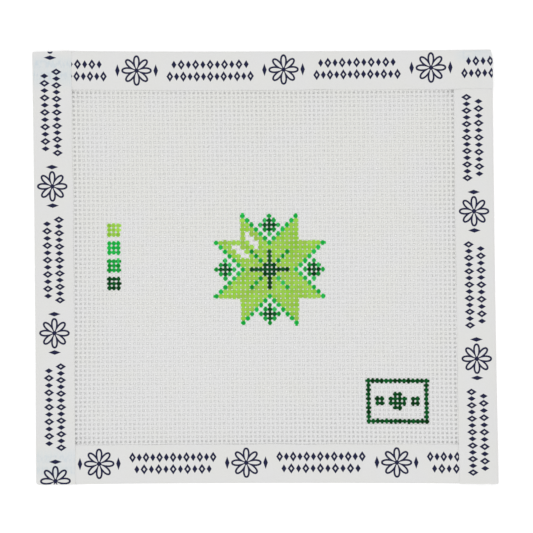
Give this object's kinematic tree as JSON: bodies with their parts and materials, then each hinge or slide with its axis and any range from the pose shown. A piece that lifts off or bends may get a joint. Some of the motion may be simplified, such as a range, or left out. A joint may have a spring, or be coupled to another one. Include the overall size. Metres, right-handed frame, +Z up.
{
  "type": "needlepoint canvas",
  "caption": "Flat rectangle of stiff open-mesh needlepoint canvas, its cut edges bound with folded cotton tape, painted with a small star to be stitched.",
  "frame": {"origin": "middle of the footprint, on the surface the cloth lies on", "axes": "+Z up out of the painted side, +X along the top edge to the right, +Y towards the top edge of the design"},
  "size_m": [0.1472, 0.1376, 0.0021],
  "materials": {
    "canvas_mesh": "matte",
    "binding_tape": "matte"
  },
  "bodies": {
    "root": {"canvas": "canvas_mesh", "tape_left": "binding_tape", "tape_right": "binding_tape", "tape_top": "binding_tape", "tape_bottom": "binding_tape"}
  },
  "joints": []
}
